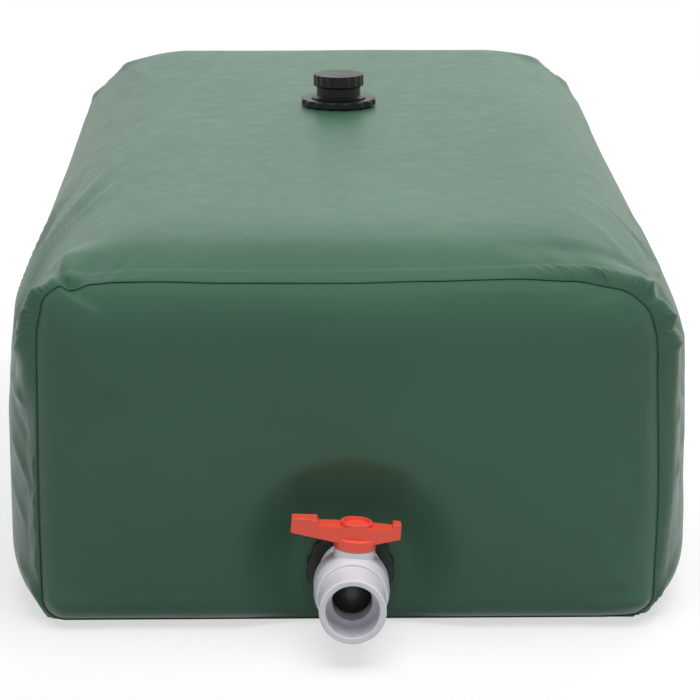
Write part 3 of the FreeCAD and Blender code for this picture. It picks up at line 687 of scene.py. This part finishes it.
def seam_distance(bag, x, z):
    """Distance from a place on a panel to its seam."""
    middle = (bag.seam_top + bag.seam_bottom) / 2.0
    radius = bag.seam_foot if z < middle else bag.seam_shoulder
    across = abs(x) - (bag.seam_half_width - radius)
    upward = abs(z - middle) - ((bag.seam_top - bag.seam_bottom) / 2.0 - radius)
    if across > 0.0 and upward > 0.0:
        return radius - math.hypot(across, upward)
    return radius - max(across, upward)


def panel_out(bag, panel, x, z, front):
    """How far the panel stands in front of its seam plane."""
    from_seam = max(seam_distance(bag, x, z) - LAP, 0.0)
    roll = blend(panel.roll_foot, panel.roll, smooth((z - FOOT_ROLL_FROM) / FOOT_ROLL_RUN))
    near = min(from_seam / roll, 1.0)
    middle = (bag.seam_top + bag.seam_bottom) / 2.0
    across = math.cos(math.pi * min(abs(x) / (2.0 * bag.seam_half_width), 0.5))
    upward = math.cos(math.pi * min(abs(z - middle) / (bag.seam_top - bag.seam_bottom), 0.5))
    height = panel.roll_out * (1.0 - (1.0 - near) ** ROLL_SHARPNESS) + panel.dome * across * upward
    if front:
        reach = math.hypot(x, z - OUTLET_HEIGHT) - panel.flat_radius
        height *= smooth(reach / panel.flat_fade)
    return panel.face_out * smooth(from_seam / FACE_RUN) + height


def panel_ripple(folds, x, y, z, ring, front):
    """Unevenness and soft folds of a panel, ring being the share of the way out to its rim."""
    place = Vector((x * PANEL_RIPPLES, y, z * PANEL_RIPPLES))
    height = sheet_ripple(place, folds.ripple) * smooth((1.0 - ring) / RIPPLE_EDGE)
    if front:
        for start, end, half_width, rise in PANEL_FOLDS:
            distance = segment_distance(x, z, start, end)
            height += rise * bump(distance, half_width) * smooth((1.0 - ring) / FOLD_EDGE)
        height *= smooth((math.hypot(x, z - OUTLET_HEIGHT) - CALM_RADIUS) / CALM_FADE)
    return height


def cut_hole(mesh, radius):
    """Takes out the sheet that the outlet's flanges cover."""
    hole = []
    for face in mesh.faces:
        middle = face.calc_center_median()
        if math.hypot(middle.x, middle.z - OUTLET_HEIGHT) < radius:
            hole.append(face)
    bmesh.ops.delete(mesh, geom=hole, context="FACES")


def build_panel(scene, end):
    """The crowned sheet that closes the front or rear end, with its hem turned in."""
    bag, panel, folds = scene.tank_bag, scene.tank_panel, scene.tank_folds
    front = end == "front"
    seam_y, outward = (WRAP_LOW[1], -1.0) if front else (WRAP_HIGH[1], 1.0)
    middle = (bag.seam_top + bag.seam_bottom) / 2.0
    half_height = (bag.seam_top - bag.seam_bottom) / 2.0
    mesh = sheet_grid(*PANEL_GRID)
    places = rim_places(bag, end)
    for vertex in mesh.verts:
        across, upward = 2.0 * vertex.co.x, 2.0 * vertex.co.y
        ring = max(abs(across), abs(upward))
        angle = math.atan2(upward * half_height, across * bag.seam_half_width)
        rim_x, rim_z, shift_x, shift_z = rim_place(places, angle)
        x, z = ring * rim_x, blend(middle, rim_z, ring)
        out = panel_out(bag, panel, x, z, front) + panel_ripple(folds, x, seam_y, z, ring, front)
        pull = smooth((ring - 1.0 + SEAM_PULL) / SEAM_PULL)
        vertex.co = Vector((x + pull * shift_x, seam_y + outward * out, z + pull * shift_z))
    back = Vector((0.0, -outward * bag.hem, 0.0))
    turn_hem(mesh, (lambda place: back,))
    if front:
        cut_hole(mesh, panel.hole_radius)
    piece = finish_piece(mesh, end + "_sheet", "tank", green_sheet(scene))
    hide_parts(end + "_panel")


# Materials

# Weave of the fabric: how close its threads lie, and how much they wander
THREADS_PER_METRE = 150.0
THREAD_WANDER = 0.4


def new_material(name, base, roughness, specular):
    """Material with a Principled shader, its tree and shader, or a known one without them."""
    known = bpy.data.materials.get(name)
    if known:
        return known, None, None
    material = bpy.data.materials.new(name)
    material.use_nodes = True
    shader = material.node_tree.nodes["Principled BSDF"]
    shader.inputs["Base Color"].default_value = (*base, 1.0)
    shader.inputs["Roughness"].default_value = roughness
    shader.inputs["Specular IOR Level"].default_value = specular
    return material, material.node_tree, shader


def add(tree, kind, **values):
    """Node with its properties and inputs set by name."""
    node = tree.nodes.new(kind)
    for name, value in values.items():
        if hasattr(node, name):
            setattr(node, name, value)
        else:
            node.inputs[name].default_value = value
    return node


def noise_at(tree, coordinates, scale, detail=3.0, roughness=0.55, stretch=(1.0, 1.0, 1.0)):
    """Noise on a piece's own coordinates."""
    mapping = add(tree, "ShaderNodeMapping", Scale=stretch)
    texture = add(tree, "ShaderNodeTexNoise", Scale=scale, Detail=detail, Roughness=roughness)
    tree.links.new(coordinates.outputs["Object"], mapping.inputs["Vector"])
    tree.links.new(mapping.outputs["Vector"], texture.inputs["Vector"])
    return texture.outputs["Fac"]


def ramp(tree, source, low, high, target):
    """Ramp from a source to a target, its ends given as (position, colour)."""
    node = add(tree, "ShaderNodeValToRGB")
    for element, (position, value) in zip(node.color_ramp.elements, (low, high)):
        element.position = position
        element.color = (*value, 1.0)
    tree.links.new(source, node.inputs["Fac"])
    tree.links.new(node.outputs["Color"], target)


def tint(base, share):
    """Lighter or darker colour of the same hue."""
    return tuple(min(channel * share, 1.0) for channel in base)


def grey(value):
    return value, value, value


def bumped(tree, shader, sources):
    """Chain of bump nodes from (height output, distance, strength) into the shader."""
    target = shader.inputs["Normal"]
    for height, distance, strong in reversed(sources):
        node = add(tree, "ShaderNodeBump", Distance=distance, Strength=strong)
        tree.links.new(height, node.inputs["Height"])
        tree.links.new(node.outputs["Normal"], target)
        target = node.inputs["Normal"]


def weave(tree, place, turn):
    """Fine threads of the fabric in one direction."""
    mapping = add(tree, "ShaderNodeMapping", Rotation=(0.0, 0.0, turn))
    threads = add(tree, "ShaderNodeTexWave", wave_type="BANDS", bands_direction="DIAGONAL")
    threads.inputs["Scale"].default_value = THREADS_PER_METRE
    threads.inputs["Distortion"].default_value = THREAD_WANDER
    tree.links.new(place.outputs["Object"], mapping.inputs["Vector"])
    tree.links.new(mapping.outputs["Vector"], threads.inputs["Vector"])
    return threads.outputs["Fac"]


def green_sheet(scene):
    """Coated fabric: faint weave under a half-matt skin with slow changes of tone and gloss."""
    base = tuple(scene.tank_colours.green)
    material, tree, shader = new_material("Green coated sheet", base, roughness=0.40, specular=0.28)
    if tree is None:
        return material
    place = add(tree, "ShaderNodeTexCoord")
    cloud = noise_at(tree, place, scale=3.2, detail=4.0, roughness=0.6)
    mottle = noise_at(tree, place, scale=38.0, detail=4.0, roughness=0.6)
    creases = noise_at(tree, place, scale=16.0, detail=5.0, roughness=0.62, stretch=(1.0, 0.45, 1.0))
    ramp(tree, cloud, (0.30, tint(base, 0.93)), (0.70, tint(base, 1.08)), shader.inputs["Base Color"])
    ramp(tree, mottle, (0.30, grey(0.37)), (0.75, grey(0.45)), shader.inputs["Roughness"])
    bumped(tree, shader, (
        (weave(tree, place, math.pi / 2.0), 0.00003, 0.35),
        (weave(tree, place, 0.0), 0.00003, 0.35),
        (creases, 0.0020, 0.30),
        (mottle, 0.0004, 0.25),
    ))
    return material


def moulded(name, base, roughness, grain, specular=0.5):
    """Moulded plastic with a fine grain and slow change of gloss."""
    base = tuple(base)
    material, tree, shader = new_material(name, base, roughness, specular)
    if tree is None:
        return material
    place = add(tree, "ShaderNodeTexCoord")
    cloud = noise_at(tree, place, scale=26.0)
    fine = noise_at(tree, place, scale=1500.0, detail=2.0)
    soft = noise_at(tree, place, scale=60.0, detail=2.0)
    ramp(tree, cloud, (0.3, tint(base, 0.96)), (0.7, tint(base, 1.04)), shader.inputs["Base Color"])
    glossy, matt = grey(roughness - 0.04), grey(roughness + 0.05)
    ramp(tree, cloud, (0.3, glossy), (0.7, matt), shader.inputs["Roughness"])
    bumped(tree, shader, ((fine, 0.00004, grain), (soft, 0.0003, 0.15)))
    return material


def finish_nodes(scene):
    """Gives each shown solid of the frame its finished material."""
    colours = scene.tank_colours
    slots = {
        "green_sheet": green_sheet(scene),
        "white_plastic": moulded("White moulded plastic", colours.white, roughness=0.34, grain=0.20),
        "seat_white": moulded("Pale ring plastic", colours.ring, roughness=0.45, grain=0.10),
        "red_plastic": moulded("Red moulded plastic", colours.red, roughness=0.38, grain=0.20),
        "black_plastic": moulded("Black moulded plastic", colours.black, 0.36, grain=0.45, specular=0.4),
        "dark_ball": moulded("Dark ball", colours.ball, roughness=0.30, grain=0.10),
        "black_rubber": moulded("Seal rubber", colours.rubber, roughness=0.62, grain=0.50),
    }
    for part in frame["record"]["subparts"]:
        node = frame["nodes"][part["node"]]
        material = slots[part["material_slot"]]
        if not node.material_slots:
            node.data.materials.append(material)
        for place in node.material_slots:
            place.material = material


# Stage

# Half width of the floor, and distances from the tank's middle between which its glow grows to white
FLOOR_HALF = 14.0
GLOW_FROM = 1.0
GLOW_TO = 3.5

# Lamps: widths and places, and how far the one behind leans
OVERHEAD_SIZE = (3.0, 3.0)
OVERHEAD_PLACE = (0.3, -1.5, 3.2)
BEHIND_SIZE = (4.0, 2.0)
BEHIND_PLACE = (1.0, 3.4, 2.3)
BEHIND_LEAN = math.radians(-52.0)

WHITE = (1.0, 1.0, 1.0, 1.0)
MATT_WHITE = (0.96, 0.96, 0.96, 1.0)


def softbox(scene, name, size, power, place):
    """Large plain lamp that lights matt colours and is seen nowhere itself."""
    lamp = bpy.data.lights.new(name, "AREA")
    lamp.shape = "RECTANGLE"
    lamp.size, lamp.size_y = size
    lamp.energy = power
    holder = bpy.data.objects.new(name, lamp)
    holder.matrix_world = place
    holder.visible_camera = False
    holder.visible_glossy = False
    scene.collection.objects.link(holder)


def seen_directly(tree):
    """Share that is 1 for what the camera sees directly, mirrored or through glass."""
    path = add(tree, "ShaderNodeLightPath")
    mirrored = add(tree, "ShaderNodeMath", operation="MAXIMUM")
    tree.links.new(path.outputs["Is Camera Ray"], mirrored.inputs[0])
    tree.links.new(path.outputs["Is Glossy Ray"], mirrored.inputs[1])
    through = add(tree, "ShaderNodeMath", operation="MAXIMUM")
    tree.links.new(mirrored.outputs["Value"], through.inputs[0])
    tree.links.new(path.outputs["Is Transmission Ray"], through.inputs[1])
    return through.outputs["Value"]


def mixed(tree, share, first, second):
    """Mix of two shaders by a linked share."""
    mix = add(tree, "ShaderNodeMixShader")
    tree.links.new(share, mix.inputs["Fac"])
    tree.links.new(first, mix.inputs[1])
    tree.links.new(second, mix.inputs[2])
    return mix.outputs["Shader"]


def floor_material(floor_colour, glow_share):
    """Pale ground that lights like matt grey and is seen as white, with the tank's shadow on it."""
    material, tree, shader = new_material("Pale floor", floor_colour, roughness=0.9, specular=0.0)
    white = add(tree, "ShaderNodeBsdfDiffuse", Color=MATT_WHITE)
    glow = add(tree, "ShaderNodeEmission", Strength=1.0)
    place = add(tree, "ShaderNodeTexCoord")
    distance = add(tree, "ShaderNodeVectorMath", operation="LENGTH")
    tree.links.new(place.outputs["Object"], distance.inputs[0])
    share = add(tree, "ShaderNodeMapRange", interpolation_type="SMOOTHSTEP")
    for name, value in (("From Min", GLOW_FROM), ("From Max", GLOW_TO), ("To Min", glow_share)):
        share.inputs[name].default_value = value
    tree.links.new(distance.outputs["Value"], share.inputs["Value"])
    shown = mixed(tree, share.outputs["Result"], white.outputs["BSDF"], glow.outputs["Emission"])
    surface = mixed(tree, seen_directly(tree), shader.outputs["BSDF"], shown)
    tree.links.new(surface, tree.nodes["Material Output"].inputs["Surface"])
    return material


def build_floor(scene):
    """Wide flat ground under the tank."""
    mesh = bmesh.new()
    bmesh.ops.create_grid(mesh, x_segments=2, y_segments=2, size=FLOOR_HALF)
    data = bpy.data.meshes.new("floor")
    mesh.to_mesh(data)
    mesh.free()
    floor = bpy.data.objects.new("floor", data)
    scene.collection.objects.link(floor)
    data.materials.append(floor_material(tuple(scene.tank_colours.floor), scene.tank_stage.floor_glow))


def build_surroundings(scene):
    """Plain white surroundings, seen at full white and lighting the tank more weakly."""
    world = bpy.data.worlds.new("Plain surroundings")
    scene.world = world
    world.use_nodes = True
    tree = world.node_tree
    background = tree.nodes["Background"]
    background.inputs["Color"].default_value = WHITE
    background.inputs["Strength"].default_value = scene.tank_stage.sky
    seen = add(tree, "ShaderNodeBackground", Color=WHITE, Strength=1.0)
    surface = mixed(tree, seen_directly(tree), background.outputs["Background"], seen.outputs["Background"])
    tree.links.new(surface, tree.nodes["World Output"].inputs["Surface"])


def build_camera(scene):
    """Camera that stands where the photograph was taken from."""
    stage = scene.tank_stage
    view = bpy.data.cameras.new("Camera")
    view.lens = stage.lens
    view.sensor_width = 36.0
    view.clip_end = 100.0
    camera = bpy.data.objects.new("Camera", view)
    tilt = Matrix.Rotation(math.pi / 2.0 - stage.camera_pitch, 4, "X")
    turn = Matrix.Rotation(-stage.camera_yaw, 4, "Z")
    camera.matrix_world = Matrix.Translation(stage.camera_place) @ turn @ tilt
    scene.collection.objects.link(camera)
    scene.camera = camera
    scene.view_settings.view_transform = "Standard"


def build_stage(scene):
    """Ground, surroundings, two large lamps and the camera."""
    stage = scene.tank_stage
    build_floor(scene)
    build_surroundings(scene)
    softbox(scene, "Overhead", OVERHEAD_SIZE, stage.overhead, Matrix.Translation(OVERHEAD_PLACE))
    behind = Matrix.Translation(BEHIND_PLACE) @ Matrix.Rotation(BEHIND_LEAN, 4, "X")
    softbox(scene, "Behind", BEHIND_SIZE, stage.behind, behind)
    build_camera(scene)


# Operators


class TANK_OT_wrap(bpy.types.Operator):
    """Wrap sheet: top, sides and underside of the bag"""
    bl_idname = "tank.wrap"
    bl_label = "Wrap Sheet"

    def execute(self, context):
        build_wrap(context.scene)
        return {"FINISHED"}


class TANK_OT_panels(bpy.types.Operator):
    """Crowned sheets that close the two ends of the bag"""
    bl_idname = "tank.panels"
    bl_label = "End Panels"

    def execute(self, context):
        for end in ("front", "rear"):
            build_panel(context.scene, end)
        return {"FINISHED"}


class TANK_OT_finishes(bpy.types.Operator):
    """Finishes of the valve, nuts, cap and seals"""
    bl_idname = "tank.finishes"
    bl_label = "Fitting Finishes"

    def execute(self, context):
        finish_nodes(context.scene)
        return {"FINISHED"}


class TANK_OT_stage(bpy.types.Operator):
    """Floor, surroundings, lamps and camera"""
    bl_idname = "tank.stage"
    bl_label = "Stage"

    def execute(self, context):
        build_stage(context.scene)
        return {"FINISHED"}


OPERATORS = (TANK_OT_stage, TANK_OT_finishes, TANK_OT_wrap, TANK_OT_panels)


class TANK_PT_panel(bpy.types.Panel):
    """Sizes, colours and pieces of the water tank"""
    bl_label = "Water Tank"
    bl_idname = "TANK_PT_panel"
    bl_space_type = "VIEW_3D"
    bl_region_type = "UI"
    bl_category = "Water Tank"

    def draw(self, context):
        for name in SETTINGS:
            group = getattr(context.scene, name)
            box = self.layout.box()
            for setting in group.bl_rna.properties:
                if setting.identifier not in {"rna_type", "name"}:
                    box.prop(group, setting.identifier)
        for operator in OPERATORS:
            self.layout.operator(operator.bl_idname)


def register():
    for name, group in SETTINGS.items():
        bpy.utils.register_class(group)
        setattr(bpy.types.Scene, name, PointerProperty(type=group))
    for cls in (*OPERATORS, TANK_PT_panel):
        bpy.utils.register_class(cls)


def unregister():
    for cls in reversed((*OPERATORS, TANK_PT_panel)):
        bpy.utils.unregister_class(cls)
    for name, group in reversed(SETTINGS.items()):
        delattr(bpy.types.Scene, name)
        bpy.utils.unregister_class(group)


def main():
    register()
    for operator in OPERATORS:
        family, name = operator.bl_idname.split(".")
        getattr(getattr(bpy.ops, family), name)()


if __name__ == "__main__":
    main()
